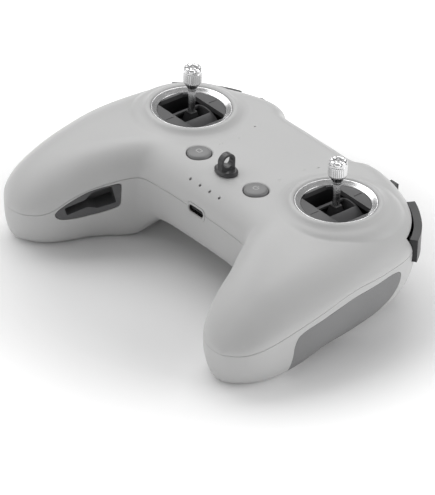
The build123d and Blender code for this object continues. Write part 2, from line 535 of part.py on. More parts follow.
# the slot runs well past the wall on both sides, so only its two ends need to be exact
s_out = off_line(cnr, 5.0)
s_in = off_line(cnr, -7.0)
slot_xy = [s_out[0], s_out[2], s_out[3], s_out[5], s_in[5], s_in[0]]
slot_xy = grow_poly(slot_xy, 0.3)
slot_r = prism([(x, y, -17.5) for x, y in slot_xy], (0, 0, 10.6))
slot_l = prism([(-x, y, -17.5) for x, y in slot_xy], (0, 0, 10.6))
parts["shoulder_key_right"] = skey
parts["shoulder_key_left"] = mirror_x(skey)

# ---- openings for the rear controls ----------------------------------------------------
ms_slot = block(MS_X - 5.4, MS_X + 5.4, 31.5, 41.0, MS_Z - 2.0, MS_Z + 2.0)
dial_slot = block(DX - 3.75, DX + 3.75, 28.5, 41.0, DZ - 5.45, DZ + 5.45)
dial_slot = dial_slot.fuse(block(DX - 6.2, DX + 6.2, 28.5, 33.3, DZ - 2.4, DZ + 2.4))
top_cut += [ms_slot, dial_slot]
low_cut += [dial_slot]

# ---- screw posts and case screws ---------------------------------------------------------
POSTS = [(26.5, -26.0, -31.6, -13.1, -3.0), (25.0, 24.0, -31.2, -13.1, -2.6), (64.0, -54.0, -43.4, -21.0, -10.9)]
screws = []
for px, py, zfoot, zseam, zroof in POSTS:
    for side in (-1, 1):
        x = side * px
        low = cyl(3.2, zseam - 0.1 - (zfoot + 1.2), x, py, zfoot + 1.2)
        low_add.append(low)
        low_cut += [cyl(1.3, zseam + 1.0 - (zfoot + 1.0), x, py, zfoot + 1.0), cyl(2.35, 5.2, x, py, zfoot - 2.2)]
        top_add.append(cyl(3.0, zroof - (zseam + 0.1), x, py, zseam + 0.1))
        top_cut.append(cyl(1.25, 7.6, x, py, zseam - 1.0))
        head = cyl(2.1, 1.5, x, py, zfoot + 1.35)
        head = head.cut(cyl(0.75, 0.9, x, py, zfoot + 1.2))
        screws.append(solid_of(head.fuse(cyl(1.2, zseam + 4.8 - (zfoot + 2.8), x, py, zfoot + 2.8))))

top_shell = solid_of(top_out.fuse(*rims))
top_shell = solid_of(top_shell.cut(top_in))
top_shell = solid_of(top_shell.fuse(*top_add))
for tools in (top_cut[:9], [bez_cut], [mouth], [slot_r, slot_l], [ms_slot, dial_slot], top_cut[-6:]):
    top_shell = solid_of(top_shell.cut(*tools))
parts["top_shell"] = top_shell
bottom_shell = solid_of(bot_out.cut(bot_in))
bottom_shell = solid_of(bottom_shell.fuse(*low_add))
for tools in ([bez_cut], [mouth], low_cut[2:4], low_cut[4:6], low_cut[6:8], [slot_r, slot_l], [dial_slot],
              low_cut[-12::2], low_cut[-11::2]):
    bottom_shell = solid_of(bottom_shell.cut(*tools))
parts["bottom_shell"] = bottom_shell
groups = {"case_screws": screws, "status_lamps": lamps}

# ---- place the whole on z = 0, centred, and write one file per piece -------------------------
lo = [1e9, 1e9, 1e9]; hi = [-1e9, -1e9, -1e9]
for s in list(parts.values()) + [q for g in groups.values() for q in g]:
    bb = s.bounding_box()
    for i, (a, b) in enumerate(((bb.min.X, bb.max.X), (bb.min.Y, bb.max.Y), (bb.min.Z, bb.max.Z))):
        lo[i] = min(lo[i], a); hi[i] = max(hi[i], b)
shift = at(-(lo[0] + hi[0]) / 2, -(lo[1] + hi[1]) / 2, -lo[2])
print("shift", -(lo[0] + hi[0]) / 2, -(lo[1] + hi[1]) / 2, -lo[2], "size", [hi[i] - lo[i] for i in range(3)])
os.makedirs("parts", exist_ok=True)
for name, s in parts.items():
    export_step(s.moved(shift), "parts/" + name + ".step")
for name, g in groups.items():
    export_step(Compound(children=[q.moved(shift) for q in g]), "parts/" + name + ".step")
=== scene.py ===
import bpy, bmesh, json, math
import numpy as np
from mathutils import Vector, Matrix
from mathutils.bvhtree import BVHTree


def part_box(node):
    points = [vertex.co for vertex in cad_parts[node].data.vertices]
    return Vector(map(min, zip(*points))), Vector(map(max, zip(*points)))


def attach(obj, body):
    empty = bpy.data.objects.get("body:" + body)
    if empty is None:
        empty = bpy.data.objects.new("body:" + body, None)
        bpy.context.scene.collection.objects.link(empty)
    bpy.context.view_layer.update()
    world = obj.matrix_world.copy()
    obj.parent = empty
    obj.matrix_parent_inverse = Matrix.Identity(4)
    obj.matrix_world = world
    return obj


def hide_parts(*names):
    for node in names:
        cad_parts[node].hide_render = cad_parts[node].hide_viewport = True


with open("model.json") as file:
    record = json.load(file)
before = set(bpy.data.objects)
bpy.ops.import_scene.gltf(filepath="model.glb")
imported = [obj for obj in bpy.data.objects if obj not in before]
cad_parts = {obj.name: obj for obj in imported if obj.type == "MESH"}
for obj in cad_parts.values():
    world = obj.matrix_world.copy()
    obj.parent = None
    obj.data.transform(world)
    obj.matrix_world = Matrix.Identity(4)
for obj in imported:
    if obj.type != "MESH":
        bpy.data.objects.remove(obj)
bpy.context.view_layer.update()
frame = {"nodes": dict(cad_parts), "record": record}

NODES = frame["nodes"]

# The working frame: millimetres from the point midway between the two sticks on the face.
_lo, _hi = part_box("stick_ring_right")
_llo, _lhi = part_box("stick_ring_left")
SX = (_lo.x + _hi.x + _llo.x + _lhi.x) * 250.0
SY = (_lo.y + _hi.y) * 500.0
SZ = _hi.z * 1000.0 - 1.48


def row(p):
    return ((p[0] + SX) / 1000.0, (p[1] + SY) / 1000.0, (p[2] + SZ) / 1000.0)


def rows(a):
    return (np.asarray(a, float) + np.array([SX, SY, SZ])) / 1000.0


# ------------------------------------------------------------------ the body, as sections
ST = [
 # P                     Q                       crown  rPt  rQt  nt   zbP    zbQ    rPb rQb nb
 ((0.0,-34.0,-13.0),   (0.0,33.0,-13.0),     -0.30, 16.0, 9.5, 2.05, -31.0, -31.0,  6.0, 8.0, 2.6),
 ((10.0,-34.1,-13.0),  (10.0,33.0,-13.0),    -0.30, 16.0, 9.5, 2.05, -31.0, -31.0,  6.0, 8.0, 2.6),
 ((19.0,-34.4,-13.0),  (19.5,33.0,-13.0),    -0.30, 16.0, 9.5, 2.05, -31.0, -31.0,  6.0, 8.0, 2.6),
 ((24.0,-34.7,-13.0),  (23.5,33.8,-13.0),    -0.30, 16.0, 9.5, 2.05, -31.3, -31.2,  6.0, 8.0, 2.6),
 ((27.5,-34.9,-13.0),  (27.8,36.2,-13.0),    -0.30, 15.8, 9.5, 2.08, -32.4, -32.0,  6.5, 8.5, 2.6),
 ((30.5,-35.4,-13.0),  (34.0,37.0,-13.0),    -0.30, 15.5, 11.0, 2.1, -35.0, -34.5,  7.0, 10.0, 2.7),
 ((33.0,-36.6,-13.05), (44.0,35.8,-13.0),    -0.35, 15.0, 14.5, 2.1, -39.0, -38.0,  7.5, 14.0, 2.7),
 ((35.0,-38.9,-13.4),  (56.0,31.3,-13.0),    -0.40, 14.5, 18.0, 2.1, -42.2, -41.7, 7.0, 18.0, 2.6),
 ((36.9,-42.2,-14.0),  (67.5,23.6,-13.0),    -0.60, 14.0, 21.5, 2.05, -43.3, -43.3,  7.0, 23.0, 2.4),
 ((38.9,-46.0,-15.0),  (76.2,12.5,-13.0),    -1.10, 14.0, 24.0, 2.05, -43.4, -43.4, 7.0, 30.0, 2.2),
 ((41.2,-50.0,-16.3),  (80.6,-4.5,-13.0),    -2.10, 14.5, 24.5, 2.05, -43.4, -43.4, 7.0, 33.0, 2.2),
 ((43.3,-54.2,-17.8),  (82.3,-22.0,-13.3),   -3.70, 15.5, 23.5, 2.05, -43.4, -43.4, 7.0, 27.0, 2.3),
 ((45.0,-59.0,-19.6),  (82.5,-36.5,-17.0),   -5.80, 16.8, 20.7, 2.05, -43.4, -43.4, 7.0, 17.0, 2.5),
 ((46.6,-63.3,-21.9),  (81.9,-48.5,-20.3),   -8.40, 17.5, 19.0, 2.05, -43.4, -43.4, 7.5, 11.5, 2.7),
 ((48.4,-67.2,-24.8),  (81.0,-58.0,-23.0),  -11.80, 16.3, 17.0, 2.05, -43.4, -43.4, 8.5, 10.0, 2.8),
 ((50.8,-71.0,-26.6),  (79.4,-65.6,-25.2),  -15.60, 14.5, 14.5, 2.05, -43.4, -43.4, 10.0, 11.0, 2.6),
 ((54.0,-74.1,-27.5),  (76.3,-71.4,-26.8),  -19.80, 11.2, 11.2, 2.05, -42.9, -42.9, 11.0, 11.0, 2.4),
 ((58.2,-76.4,-28.0),  (72.0,-75.0,-27.7),  -23.80,  6.9, 6.9, 2.0, -40.6, -40.6,  6.9, 6.9, 2.1),
 ((61.2,-77.12,-28.2),  (68.9,-76.7,-28.05),  -26.10,  3.8,  3.8, 2.0, -34.8, -34.8,  3.8,  3.8, 2.05),
 ((63.25,-77.33,-28.25),(66.75,-77.2,-28.2), -27.25,  1.7,  1.7, 2.0, -31.4, -31.4,  1.7,  1.7, 2.0),
]
STICK = 45.0


def edge_rise(a, r, n):
    a = np.asarray(a, float)
    u = np.clip(1.0 - a / r, 0.0, 1.0)
    return np.where(a >= r, 1.0, np.clip(1.0 - u ** n, 0.0, 1.0) ** (1.0 / n))


def refine(table, parts):
    flat = np.array([[*r[0], *r[1], *r[2:]] for r in table], float)
    mirror = flat[1].copy(); mirror[0] *= -1; mirror[3] *= -1
    run = np.vstack([mirror, flat])
    d = np.linalg.norm(np.diff(run[:, 0:3], axis=0), axis=1) + np.linalg.norm(np.diff(run[:, 3:6], axis=0), axis=1)
    t = np.concatenate([[0], np.cumsum(np.sqrt(d))])
    n = len(run)
    m = np.zeros_like(run)
    for i in range(1, n - 1):
        h0, h1 = t[i] - t[i - 1], t[i + 1] - t[i]
        d0, d1 = (run[i] - run[i - 1]) / h0, (run[i + 1] - run[i]) / h1
        m[i] = (d0 * h1 + d1 * h0) / (h0 + h1)
    m[0] = (run[1] - run[0]) / (t[1] - t[0]); m[-1] = (run[-1] - run[-2]) / (t[-1] - t[-2])
    out = []
    for i in range(1, n - 1):
        h = t[i + 1] - t[i]
        for k in range(parts):
            u = k / parts
            out.append((1 + 2 * u) * (1 - u) ** 2 * run[i] + u * (1 - u) ** 2 * h * m[i]
                       + u * u * (3 - 2 * u) * run[i + 1] + u * u * (u - 1) * h * m[i + 1])
    out.append(run[-1])
    return np.array(out)


def arch(st, off, top, n, lip=0.0):
    """points of one section from the near seam to the far seam, evenly spaced, with a small rounded lip at each end"""
    P, Q, zc, rPt, rQt, nt, zbP, zbQ, rPb, rQb, nb = st[0:3], st[3:6], *st[6:]
    w0 = math.hypot(Q[0] - P[0], Q[1] - P[1])
    ux, uy = (Q[0] - P[0]) / w0, (Q[1] - P[1]) / w0
    w = w0 - 2 * off
    rP, rQ, ex = (rPt, rQt, nt) if top else (rPb, rQb, nb)
    rP, rQ = min(max(rP - off, 1.2), 0.47 * w), min(max(rQ - off, 1.2), 0.47 * w)
    th = np.linspace(0, math.pi / 2, 60)
    c = 1 - np.cos(th) ** (2.0 / ex)
    a = np.concatenate([rP * c, np.linspace(rP, w - rQ, 32)[1:-1], w - (rQ * c)[::-1]])
    zs = P[2] + (Q[2] - P[2]) * ((a + off) / w0)
    s = edge_rise(a, rP, ex) * edge_rise(w - a, rQ, ex)
    if top:
        z = zs + (zc - off - zs) * s
    else:
        z = zs + (zbP + (zbQ - zbP) * (a / w) + off - zs) * s
    az = np.stack([a, z], 1)
    run = np.concatenate([[0], np.cumsum(np.linalg.norm(np.diff(az, axis=0), axis=1))])
    L = run[-1]
    # spacing in proportion, a little closer at both ends
    f = np.linspace(0, 1, n)
    f = f - 0.35 * np.sin(2 * math.pi * f) / (2 * math.pi)
    if lip > 0:
        k = lip * 1.15
        f = k / L + f * (1 - 2 * k / L)
    aa = np.interp(f * L, run, az[:, 0]); zz = np.interp(f * L, run, az[:, 1])
    if lip > 0:      # quarter-round lip, rolling in towards the seam with a narrow gap left between the halves
        sg = 1 if top else -1
        g = 0.05
        ph = np.linspace(0, math.pi / 2, 5)[:-1]
        la = lip * (1 - np.sin(ph)); lz = g + lip * (1 - np.cos(ph))
        a0 = np.concatenate([[lip * 1.9], la]); z0 = np.concatenate([[g], lz])
        zsP = zs[0]; zsQ = zs[-1]
        aa = np.concatenate([a0, aa, (w - a0)[::-1]])
        zz = np.concatenate([zsP + sg * z0, zz, (zsQ + sg * z0)[::-1]])
    return np.stack([P[0] + ux * (aa + off), P[1] + uy * (aa + off), zz], 1)


def body_grid(off, top, n, parts, drop=0, lip=0.0):
    sts = refine(ST, parts)
    if drop:
        sts = sts[: len(sts) - drop]
    right = [arch(s, off, top, n, lip) for s in sts]
    left = [g * np.array([-1.0, 1, 1]) for g in right[:0:-1]]
    g = np.array(left + right)
    g[..., 0] = np.clip(g[..., 0], -82.45, 82.45)
    g[..., 2] = np.maximum(g[..., 2], -43.35)
    return g


def grid_solid(g, ext=0.0, top=True):
    """closed mesh from a grid of sections (rows = sections)"""
    m, n, _ = g.shape
    if ext:
        a = g[:, :1].copy(); b = g[:, -1:].copy()
        a[..., 2] += (-ext if top else ext); b[..., 2] += (-ext if top else ext)
        g = np.concatenate([a, g, b], 1); n += 2
    verts = g.reshape(-1, 3)
    faces = []
    for i in range(m - 1):
        for j in range(n - 1):
            faces.append((i * n + j, i * n + j + 1, (i + 1) * n + j + 1, (i + 1) * n + j))
        faces.append((i * n + n - 1, i * n, (i + 1) * n, (i + 1) * n + n - 1))
    faces.append(tuple(range(n)))
    faces.append(tuple((m - 1) * n + j for j in range(n))[::-1])
    return verts, faces


def new_object(name, verts, faces, fix=True):
    me = bpy.data.meshes.new(name)
    me.from_pydata([tuple(v) for v in rows(verts)], [], faces)
    me.validate()
    if fix:
        bm = bmesh.new(); bm.from_mesh(me)
        bmesh.ops.recalc_face_normals(bm, faces=bm.faces)
        bm.to_mesh(me); bm.free()
    ob = bpy.data.objects.new(name, me)
    bpy.context.scene.collection.objects.link(ob)
    return ob


def apply_boolean(ob, cutters, op="DIFFERENCE", keep=False):
    for c in cutters:
        m = ob.modifiers.new("b", "BOOLEAN")
        m.operation = op; m.object = c; m.solver = "MANIFOLD"
    dg = bpy.context.evaluated_depsgraph_get()
    dg.update()
    me = bpy.data.meshes.new_from_object(ob.evaluated_get(dg))
    old = ob.data
    ob.modifiers.clear()
    ob.data = me
    bpy.data.meshes.remove(old)
    if not keep:
        for c in cutters:
            bpy.data.objects.remove(c)
    return ob


def smooth(ob, angle=32.0):
    bm = bmesh.new(); bm.from_mesh(ob.data)
    bmesh.ops.remove_doubles(bm, verts=bm.verts, dist=2e-6)
    lim = math.radians(angle)
    for f in bm.faces:
        f.smooth = True
    for e in bm.edges:
        e.smooth = len(e.link_faces) == 2 and e.calc_face_angle(0.0) < lim
    bm.to_mesh(ob.data); bm.free()
    return ob


def revolve(name, prof, cx, cy, n=96, teeth=None):
    """closed turned solid from (radius, z) points; radius 0 ends are shared"""
    verts, faces, rings = [], [], []
    for r, z in prof:
        if r < 1e-6:
            rings.append([len(verts)]); verts.append((cx, cy, z))
        else:
            rings.append(list(range(len(verts), len(verts) + n)))
            for k in range(n):
                a = 2 * math.pi * k / n
                verts.append((cx + r * math.cos(a), cy + r * math.sin(a), z))
    for i in range(len(rings)):
        A, B = rings[i], rings[(i + 1) % len(rings)]
        if len(A) == 1 and len(B) == 1:
            continue
        for k in range(n):
            k2 = (k + 1) % n
            if len(A) == 1:
                faces.append((A[0], B[k], B[k2]))
            elif len(B) == 1:
                faces.append((A[k], B[0], A[k2]))
            else:
                faces.append((A[k], B[k], B[k2], A[k2]))
    return new_object(name, verts, faces)


def prism_x(name, yz, x0, x1):
    n = len(yz)
    verts = [(x0, y, z) for y, z in yz] + [(x1, y, z) for y, z in yz]
    faces = [tuple(range(n)), tuple(range(2 * n - 1, n - 1, -1))]
    faces += [(i, (i + 1) % n, n + (i + 1) % n, n + i) for i in range(n)]
    return new_object(name, verts, faces)


def prism_z(name, xy, z0, z1):
    n = len(xy)
    verts = [(x, y, z0) for x, y in xy] + [(x, y, z1) for x, y in xy]
    faces = [tuple(range(n)), tuple(range(2 * n - 1, n - 1, -1))]
    faces += [(i, (i + 1) % n, n + (i + 1) % n, n + i) for i in range(n)]
    return new_object(name, verts, faces)


def prism_y(name, xz, y0, y1):
    n = len(xz)
    verts = [(x, y0, z) for x, z in xz] + [(x, y1, z) for x, z in xz]
    faces = [tuple(range(n)), tuple(range(2 * n - 1, n - 1, -1))]
    faces += [(i, (i + 1) % n, n + (i + 1) % n, n + i) for i in range(n)]
    return new_object(name, verts, faces)


def resample(pts, n, closed=True):
    """smooth closed outline through a few points (centripetal curve), n points"""
    p = np.asarray(pts, float); m = len(p)
    out = []
    per = max(2, n // m)
    for i in range(m):
        p0, p1, p2, p3 = p[(i - 1) % m], p[i], p[(i + 1) % m], p[(i + 2) % m]
        d1, d2, d3 = [max(np.linalg.norm(b - a), 1e-6) ** 0.5 for a, b in ((p0, p1), (p1, p2), (p2, p3))]
        m1 = (p1 - p0) / d1 - (p2 - p0) / (d1 + d2) + (p2 - p1) / d2
        m2 = (p2 - p1) / d2 - (p3 - p1) / (d2 + d3) + (p3 - p2) / d3
        m1, m2 = m1 * d2, m2 * d2
        for k in range(per):
            u = k / per
            out.append((1 + 2 * u) * (1 - u) ** 2 * p1 + u * (1 - u) ** 2 * m1 + u * u * (3 - 2 * u) * p2 + u * u * (u - 1) * m2)
    return [tuple(q) for q in out]


def inset(pts, g):
    """outline moved inwards (g > 0) or outwards, for smooth outlines"""
    p = np.asarray(pts, float)
    t = np.roll(p, -1, 0) - np.roll(p, 1, 0)
    t /= np.maximum(np.linalg.norm(t, axis=1), 1e-9)[:, None]
    area = 0.5 * np.sum(p[:, 0] * np.roll(p[:, 1], -1) - np.roll(p[:, 0], -1) * p[:, 1])
    nrm = np.stack([-t[:, 1], t[:, 0]], 1) * (1 if area > 0 else -1)
    return [tuple(q) for q in p + nrm * g]


def rounded_rect(w, h, r, cx=0.0, cy=0.0, k=8):
    out = []
    for sx, sy, a0 in ((1, 1, 0), (-1, 1, 90), (-1, -1, 180), (1, -1, 270)):
        for i in range(k + 1):
            a = math.radians(a0 + 90 * i / k)
            out.append((cx + sx * (w / 2 - r) + r * math.cos(a), cy + sy * (h / 2 - r) + r * math.sin(a)))
    return out


# ------------------------------------------------------------------ shells
NA = 84          # points across a section
top_g = body_grid(0.0, True, NA, 8, lip=0.34)
low_g = body_grid(0.0, False, NA, 8, lip=0.34)
v, f = grid_solid(top_g)
top_raw = new_object("top_raw", v, f)
bv = BVHTree.FromPolygons([tuple(p) for p in v], [q for q in f if len(q) == 4])


def body_z(x, y):
    hit = bv.ray_cast(Vector((x, y, 30.0)), Vector((0, 0, -1)))
    return hit[0].z if hit[0] is not None and hit[0].z > -14 else -14.0


# The rims: a rounded crest round each stick well, and a hollow flare that dies into the face.
FLARE = [(16.65, 1.30), (16.75, 1.50), (16.95, 1.70), (17.25, 1.86), (17.6, 1.95), (18.0, 1.98), (18.4, 1.93),
         (18.8, 1.75), (19.2, 1.48), (19.7, 1.10), (20.3, 0.72), (21.0, 0.36), (21.9, 0.05), (22.9, -0.30), (23.9, -0.80),
         (24.8, -1.45), (25.6, -2.15), (26.4, -3.05), (27.2, -4.30), (28.4, -6.8), (30.5, -12.0)]
fr = np.array([p[0] for p in FLARE]); fz = np.array([p[1] for p in FLARE])


def _pchip(x, y, q):
    h = np.diff(x); d = np.diff(y) / h
    m = np.zeros(len(x)); m[0], m[-1] = d[0], d[-1]
    for i in range(1, len(x) - 1):
        if d[i - 1] * d[i] > 0:
            w1, w2 = 2 * h[i] + h[i - 1], h[i] + 2 * h[i - 1]
            m[i] = (w1 + w2) / (w1 / d[i - 1] + w2 / d[i])
    i = np.clip(np.searchsorted(x, q) - 1, 0, len(h) - 1)
    u = (q - x[i]) / h[i]
    return ((1 + 2 * u) * (1 - u) ** 2 * y[i] + u * (1 - u) ** 2 * h[i] * m[i]
            + u * u * (3 - 2 * u) * y[i + 1] + u * u * (u - 1) * h[i] * m[i + 1])


def face_z(x, y, r):
    b = body_z(x, y)
    if r < 19.4:
        return float(_pchip(fr, fz, np.array([r]))[0])
    w = float(_pchip(fr, fz, np.array([min(r, 30.4)]))[0])
    k = 0.55 * min(1.0, max(0.0, (r - 19.4) / 1.5)) + 1e-4       # soft joint between flare and face
    m = max(b, w); d = abs(b - w)
    return m + max(0.0, k - d) ** 2 / (4 * k)


def rim_patch(cx):
    """solid disc with the face, flare and rim as its top"""
    R1 = 27.9
    rs = sorted(set([16.3, 16.65, 16.70, 16.78, 16.9, 17.05, 17.25, 17.5, 17.75, 18.0, 18.25, 18.5, 18.75, 19.0, 19.25, 19.5]
                    + list(np.arange(19.8, R1, 0.42)) + [R1, R1 + 0.5]))
    n = 240
    verts = [(cx, 0.0, 1.30), (cx, 0.0, -4.6)]
    for r in rs:
        for k in range(n):
            a = 2 * math.pi * k / n
            x, y = cx + r * math.cos(a), r * math.sin(a)
            z = face_z(x, y, max(r, 16.65)) - (0.012 if r > R1 + 0.1 else 0.0)
            verts.append((x, y, z))
    base = len(verts)
    for k in range(n):
        a = 2 * math.pi * k / n
        r = rs[-1]
        x, y = cx + r * math.cos(a), r * math.sin(a)
        verts.append((x, y, min(-4.6, verts[2 + (len(rs) - 1) * n + k][2] - 0.6)))
    faces = []
    for k in range(n):
        k2 = (k + 1) % n
        faces.append((0, 2 + k, 2 + k2))
        for i in range(len(rs) - 1):
            faces.append((2 + i * n + k, 2 + (i + 1) * n + k, 2 + (i + 1) * n + k2, 2 + i * n + k2))
        o = 2 + (len(rs) - 1) * n
        faces.append((o + k, base + k, base + k2, o + k2))
        faces.append((1, base + k2, base + k))
    return new_object("rim_patch", verts, faces)


def drum_cut(cx, cy, r, z0, z1, n=128):
    return revolve("cut", [(0, z0), (r, z0), (r, z1), (0, z1)], cx, cy, n)


def piece(ob, name, body, slot, *nodes):
    ob.name = name
    ob.data.name = name
    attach(ob, body)
    if nodes:
        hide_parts(*nodes)
    return ob


for sx in (-1, 1):
    cx = sx * STICK
    apply_boolean(top_raw, [drum_cut(cx, 0, 27.9, -7.0, 40, 240)])
    apply_boolean(top_raw, [rim_patch(cx)], "UNION")
v, f = grid_solid(body_grid(2.2, True, 48, 4, drop=14), 2.5, True)
apply_boolean(top_raw, [new_object("in", v, f)])

USB_Z = -13.3
cnr = [(53.0, 32.7), (58.0, 30.2), (63.0, 27.0), (67.6, 23.5), (71.8, 19.2), (75.2, 14.6)]


def off_line(pts, d):
    out = []
    for i, p in enumerate(pts):
        a = pts[max(i - 1, 0)]; b = pts[min(i + 1, len(pts) - 1)]
        t = (b[0] - a[0], b[1] - a[1]); l = math.hypot(*t)
        out.append((p[0] - t[1] / l * d, p[1] + t[0] / l * d))
    return out


def slot_poly(sx):
    o, i = off_line(cnr, 5.0), off_line(cnr, -7.0)
    e0 = ((o[0][0] - i[0][0]) / 12, (o[0][1] - i[0][1]) / 12)
    pts = [o[0], o[2], o[3], o[5], i[5], i[0]]
    # ends moved out by the line gap
    t0 = ((cnr[0][0] - cnr[1][0]), (cnr[0][1] - cnr[1][1])); l0 = math.hypot(*t0)
    t1 = ((cnr[5][0] - cnr[4][0]), (cnr[5][1] - cnr[4][1])); l1 = math.hypot(*t1)
    g = 0.3
    pts[0] = (pts[0][0] + t0[0] / l0 * g, pts[0][1] + t0[1] / l0 * g)
    pts[5] = (pts[5][0] + t0[0] / l0 * g, pts[5][1] + t0[1] / l0 * g)
    pts[3] = (pts[3][0] + t1[0] / l1 * g, pts[3][1] + t1[1] / l1 * g)
    pts[4] = (pts[4][0] + t1[0] / l1 * g, pts[4][1] + t1[1] / l1 * g)
    return [(sx * x, y) for x, y in pts]


def common_cuts():
    c = [prism_y("bz", rounded_rect(11.4, 5.6, 2.4, 0, USB_Z - 0.1), -37.0, -32.6),
         prism_y("mo", rounded_rect(9.4, 3.7, 1.8, 0, USB_Z), -37.0, -28.0)]
    for sx in (-1, 1):
        c.append(prism_z("sl", slot_poly(sx), -17.5, -6.9))
    c.append(prism_z("dl", [(-42.25, 28.5), (-34.75, 28.5), (-34.75, 41.0), (-42.25, 41.0)], -14.65, -3.75))
    c.append(prism_z("dp", [(-44.7, 28.5), (-32.3, 28.5), (-32.3, 33.3), (-44.7, 33.3)], -11.6, -6.8))
    return c


KEYS = [(-17.7, -18.3), (17.7, -18.3)]
LAMPS = (-9.0, -3.0, 3.0, 9.0)
cuts = common_cuts()
for sx in (-1, 1):
    cuts.append(drum_cut(sx * STICK, 0, 16.65, -12, 12, 240))
for x, y in KEYS:
    # straight bore with a soft rolled mouth
    prof = [(0, -9), (5.25, -9), (5.25, -1.15), (5.30, -0.92), (5.42, -0.68), (5.62, -0.48), (5.95, -0.33), (6.5, -0.22), (7.4, 0.1), (7.4, 3), (0, 3)]
    cuts.append(revolve("kb", prof, x, y, 96))
for x in LAMPS:
    cuts.append(drum_cut(x, -29.7, 0.55, -10, 3, 32))
cuts.append(prism_z("ms", [(32.1, 31.5), (42.9, 31.5), (42.9, 41), (32.1, 41)], -11.4, -7.4))
for c in cuts:
    apply_boolean(top_raw, [c])
smooth(top_raw)
piece(top_raw, "upper_shell", "case", "shell_grey", "top_shell")

# lower shell with openings cut for the storage inserts, and grip pads
v, f = grid_solid(low_g)
low_raw = new_object("low_raw", v, f)
plain = body_grid(0.06, False, NA, 8)
v, f = grid_solid(body_grid(2.4, False, 48, 4, drop=14), 2.5, False)
apply_boolean(low_raw, [new_object("in", v, f)])
FEET = [(26.5, -26.0, -31.6, -13.1), (25.0, 24.0, -31.2, -13.1), (64.0, -54.0, -43.4, -21.0)]
for px, py, zf, zs in FEET:
    for sx in (-1, 1):
        apply_boolean(low_raw, [drum_cut(sx * px, py, 3.2, zf + 1.2, zs - 0.1, 48)], "UNION")
        apply_boolean(low_raw, [drum_cut(sx * px, py, 2.35, zf - 2.2, zf + 3.0, 48)])
        apply_boolean(low_raw, [drum_cut(sx * px, py, 1.3, zf + 1.0, zs + 1.0, 32)])
PAD = [(1.8, -15.63), (-12.0, -15.95), (-22.0, -16.6), (-28.5, -18.0), (-36.5, -20.0), (-45.8, -22.4), (-49.0, -24.1),
       (-50.6, -27.4), (-51.0, -33.0), (-51.2, -39.4), (-50.6, -41.0), (-49.0, -41.6), (-36.0, -41.6), (-22.0, -41.6), (-11.0, -38.4), (-2.0, -34.0),
       (4.0, -27.5), (6.0, -20.6), (5.3, -17.2)]
INS = [(-43.2, -15.65), (-47.2, -16.4), (-52.8, -18.0), (-59.1, -20.6), (-63.8, -23.4), (-66.2, -25.4), (-67.0, -27.2),
       (-65.4, -29.1), (-61.3, -29.9), (-55.2, -29.9), (-49.5, -28.9), (-44.3, -27.0), (-42.9, -26.2), (-42.4, -25.0), (-42.4, -20.5),
       (-42.4, -16.5), (-42.6, -15.95)]
pad_s, ins_s = resample(PAD, 190), resample(INS, 170)
for c in common_cuts():
    apply_boolean(low_raw, [c])
for sx in (-1, 1):
    apply_boolean(low_raw, [prism_x("pc", inset(pad_s, -0.17), sx * 66, sx * 92)])
    apply_boolean(low_raw, [prism_x("ic", inset(ins_s, -0.17), sx * 33, sx * 53.5)])
smooth(low_raw)
piece(low_raw, "lower_shell", "case", "shell_grey", "bottom_shell")

for sx, tag in ((-1, "left"), (1, "right")):
    v, f = grid_solid(plain)
    pad = new_object("pad", v, f)
    apply_boolean(pad, [prism_x("pf", pad_s, sx * 66, sx * 92)], "INTERSECT")
    v, f = grid_solid(body_grid(1.3, False, 60, 4, drop=14), 2.5, False)
    apply_boolean(pad, [new_object("in", v, f)])
    smooth(pad)
    piece(pad, "grip_cover_" + tag, "case", "grip_rubber", "grip_pad_" + tag)


# ------------------------------------------------------------------ materials
def nodes_of(name):
    m = bpy.data.materials.new(name)
    m.use_nodes = True
    nt = m.node_tree
    b = nt.nodes["Principled BSDF"]
    return m, nt, b


def link(nt, a, ai, b, bi):
    nt.links.new(a.outputs[ai], b.inputs[bi])


def tex_noise(nt, scale, detail=3.0, rough=0.55, seed=0.0):
    tc = nt.nodes.new("ShaderNodeTexCoord")
    mp = nt.nodes.new("ShaderNodeMapping")
    mp.inputs["Location"].default_value = (seed * 3.1, seed * 1.7, seed * 2.3)
    n = nt.nodes.new("ShaderNodeTexNoise")
    n.inputs["Scale"].default_value = scale
    n.inputs["Detail"].default_value = detail
    n.inputs["Roughness"].default_value = rough
    link(nt, tc, "Object", mp, "Vector")
    link(nt, mp, "Vector", n, "Vector")
    return n, mp


def ramp(nt, src, out, lo, hi, c0, c1):
    r = nt.nodes.new("ShaderNodeMapRange")
    r.inputs["From Min"].default_value = lo
    r.inputs["From Max"].default_value = hi
    r.inputs["To Min"].default_value = c0
    r.inputs["To Max"].default_value = c1
    link(nt, src, out, r, "Value")
    return r


def mix_colour(nt, fac, fout, a, b):
    m = nt.nodes.new("ShaderNodeMix")
    m.data_type = "RGBA"
    if fac is not None:
        nt.links.new(fac.outputs[fout], m.inputs[0])
    for sock, c in ((6, a), (7, b)):
        if isinstance(c, tuple) and len(c) == 2:
            nt.links.new(c[0].outputs[c[1]], m.inputs[sock])
        else:
            m.inputs[sock].default_value = (*c, 1.0)
    return m


def grey(v):
    """linear value of a display grey 0-255"""
    v = v / 255.0
    return v / 12.92 if v <= 0.04045 else ((v + 0.055) / 1.055) ** 2.4


